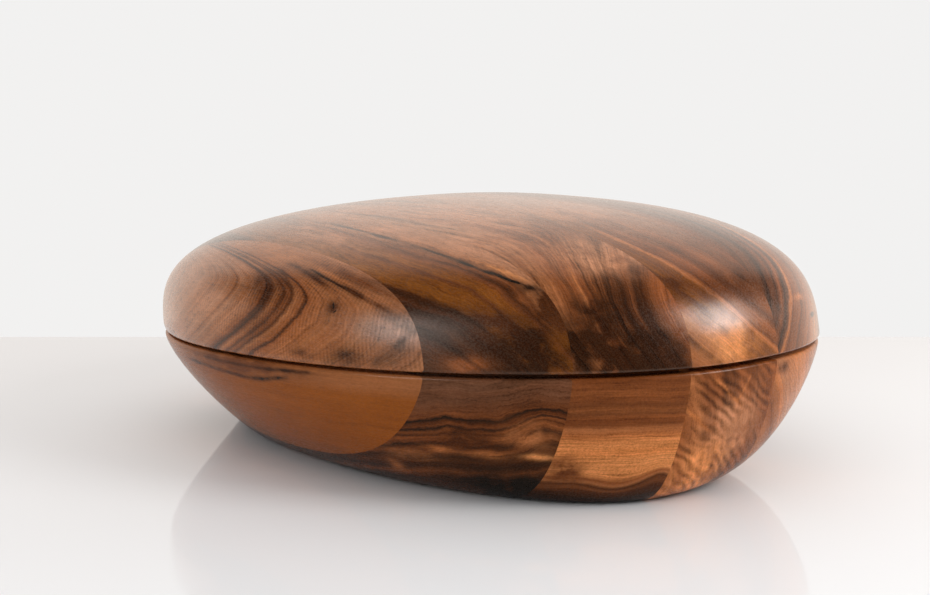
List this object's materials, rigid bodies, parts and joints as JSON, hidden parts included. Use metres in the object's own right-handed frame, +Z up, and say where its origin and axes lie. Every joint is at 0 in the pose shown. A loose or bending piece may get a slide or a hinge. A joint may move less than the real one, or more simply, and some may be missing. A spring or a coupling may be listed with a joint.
{
  "type": "lidded wooden bowl",
  "caption": "Pebble-shaped wooden bowl carved from walnut boards glued side by side, with a domed lid that lifts off its rim.",
  "frame": {"origin": "middle of the object's length and breadth, on the surface that the bowl stands on", "axes": "+X along the boards from the blunt end to the narrow end, +Y across the boards towards the overhanging back, +Z up"},
  "size_m": [0.3937, 0.3228, 0.1354],
  "materials": {
    "bowl_board_1": "satin oil",
    "bowl_board_2": "satin oil",
    "bowl_board_3": "satin oil",
    "bowl_board_4": "satin oil",
    "bowl_board_5": "satin oil",
    "bowl_board_6": "satin oil",
    "bowl_board_7": "satin oil",
    "lid_board_1": "satin oil",
    "lid_board_2": "satin oil",
    "lid_board_3": "satin oil",
    "lid_board_4": "satin oil",
    "lid_board_5": "satin oil",
    "lid_board_6": "satin oil",
    "lid_board_7": "satin oil"
  },
  "bodies": {
    "bowl": {"bowl_board_1": "bowl_board_1", "bowl_board_2": "bowl_board_2", "bowl_board_3": "bowl_board_3", "bowl_board_4": "bowl_board_4", "bowl_board_5": "bowl_board_5", "bowl_board_6": "bowl_board_6", "bowl_board_7": "bowl_board_7"},
    "lid": {"lid_board_1": "lid_board_1", "lid_board_2": "lid_board_2", "lid_board_3": "lid_board_3", "lid_board_4": "lid_board_4", "lid_board_5": "lid_board_5", "lid_board_6": "lid_board_6", "lid_board_7": "lid_board_7"}
  },
  "joints": [
    {"name": "lid_lift", "type": "slide", "parent": "bowl", "child": "lid", "axis": [0, 0, 1], "range_m": [0, 0.12]}
  ]
}
